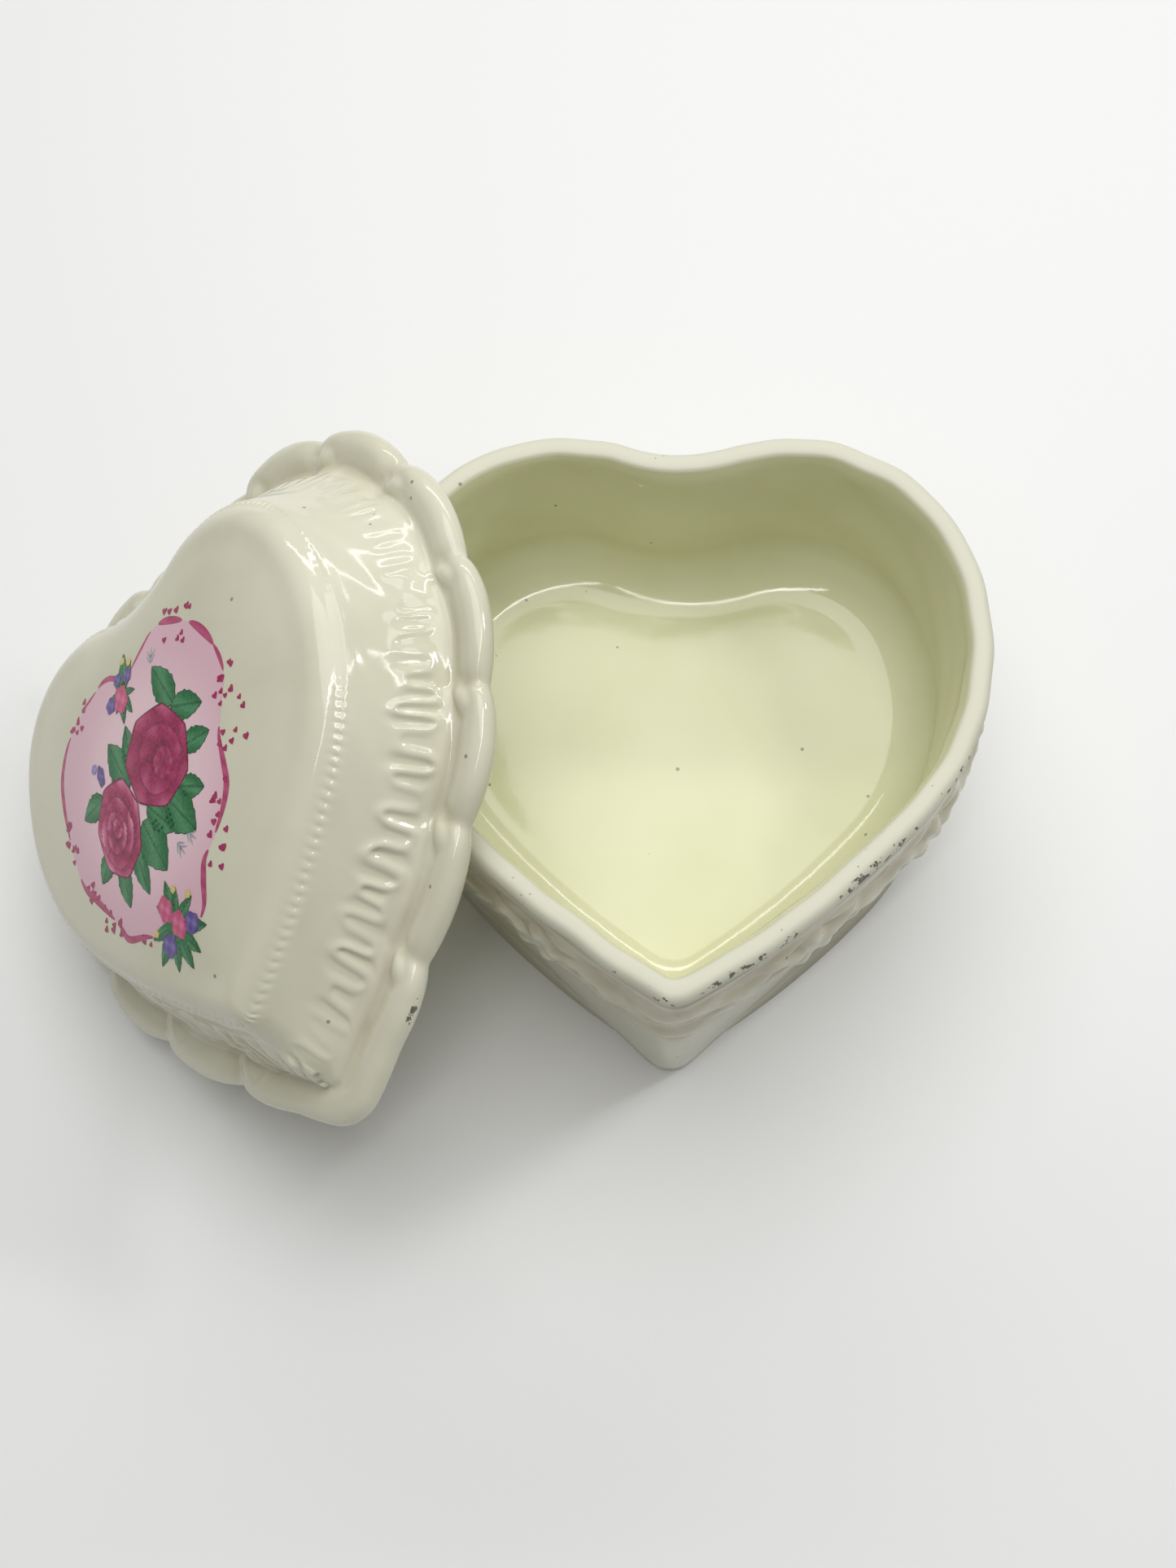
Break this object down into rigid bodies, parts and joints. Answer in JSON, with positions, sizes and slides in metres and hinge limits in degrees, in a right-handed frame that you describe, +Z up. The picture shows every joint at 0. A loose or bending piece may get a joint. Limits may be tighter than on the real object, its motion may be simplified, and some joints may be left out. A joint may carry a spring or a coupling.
{
  "type": "wind-up music box",
  "caption": "Heart-shaped glazed ceramic music box with a scalloped lift-off lid, an open bowl and a wind-up comb movement under its floor.",
  "frame": {"origin": "on the surface that the box stands on, under the winding key's axis, where the heart's widest line crosses its middle line", "axes": "+Z up, -Y towards the heart's tip, +X to the right of someone facing the tip; the lid leans on the -X side"},
  "size_m": [0.1812, 0.1246, 0.0879],
  "materials": {
    "glazed_bowl": "glossy pale yellow-green glaze inside and ivory outside, matt worn rim",
    "glazed_lid": "glossy ivory glaze with a printed rose pattern",
    "cover_board": "pressed board, matt",
    "brass": "turned and polished",
    "plated_steel": "nickel plated",
    "blued_steel": "blued spring steel",
    "comb_steel": "ground and hardened",
    "cast_zinc": "die cast, satin",
    "lead": "dull grey",
    "ruby_stone": "polished",
    "bright_aluminium": "thin sheet"
  },
  "bodies": {
    "base": {"base_bowl": "glazed_bowl", "bottom_cover": "cover_board", "movement_screws": "plated_steel", "spring_housing": "plated_steel", "mainspring": "blued_steel", "bedplate": "cast_zinc", "drive_end_bracket": "brass", "governor_end_bracket": "brass", "bracket_screws": "plated_steel", "comb": "comb_steel", "bass_weights": "lead", "comb_screws": "plated_steel", "governor_frame": "cast_zinc", "governor_screws": "plated_steel", "end_stone": "ruby_stone"},
    "lid": {"lid_shell": "glazed_lid"},
    "key": {"winding_key": "brass", "spring_arbor": "plated_steel", "ratchet_wheel": "plated_steel"},
    "drive_wheel": {"drive_wheel": "brass", "click_spring": "blued_steel"},
    "cylinder": {"music_cylinder": "brass", "cylinder_ends": "brass", "cylinder_pins": "plated_steel", "cylinder_arbor": "plated_steel", "cylinder_pinion": "plated_steel", "cylinder_wheel": "brass"},
    "governor_wheel": {"governor_wheel": "brass"},
    "worm_wheel": {"worm_wheel": "brass"},
    "fan": {"fan_spindle": "plated_steel", "air_brake": "bright_aluminium"}
  },
  "joints": [
    {"name": "lid_lift", "type": "slide", "parent": "base", "child": "lid", "axis": [0, 0, 1], "range_m": [0, 0.095]},
    {"name": "key_wind", "type": "hinge", "parent": "base", "child": "key", "pos_m": [0, 0, 0.008], "axis": [0, 0, 1], "range_deg": [0, 1890]},
    {"name": "cylinder_spin", "type": "hinge", "parent": "base", "child": "cylinder", "pos_m": [0.0232, 0, 0.0169], "axis": [1, 0, 0], "continuous": true},
    {"name": "drive_wheel_spin", "type": "hinge", "parent": "base", "child": "drive_wheel", "pos_m": [0, 0, 0.011], "axis": [0, 0, 1], "continuous": true},
    {"name": "governor_wheel_spin", "type": "hinge", "parent": "base", "child": "governor_wheel", "pos_m": [0.0325, 0.00728, 0.0169], "axis": [1, 0, 0], "continuous": true},
    {"name": "worm_wheel_spin", "type": "hinge", "parent": "base", "child": "worm_wheel", "pos_m": [0.0325, 0.01361, 0.01395], "axis": [1, 0, 0], "continuous": true},
    {"name": "fan_spin", "type": "hinge", "parent": "base", "child": "fan", "pos_m": [0.0322, 0.0178, 0.014], "axis": [0, 0, 1], "continuous": true}
  ],
  "couplings": [
    {"joint": "drive_wheel_spin", "follows": "cylinder_spin", "ratio": 0.41667},
    {"joint": "governor_wheel_spin", "follows": "cylinder_spin", "ratio": -3.8},
    {"joint": "worm_wheel_spin", "follows": "cylinder_spin", "ratio": 13.68},
    {"joint": "fan_spin", "follows": "cylinder_spin", "ratio": -273.6}
  ]
}
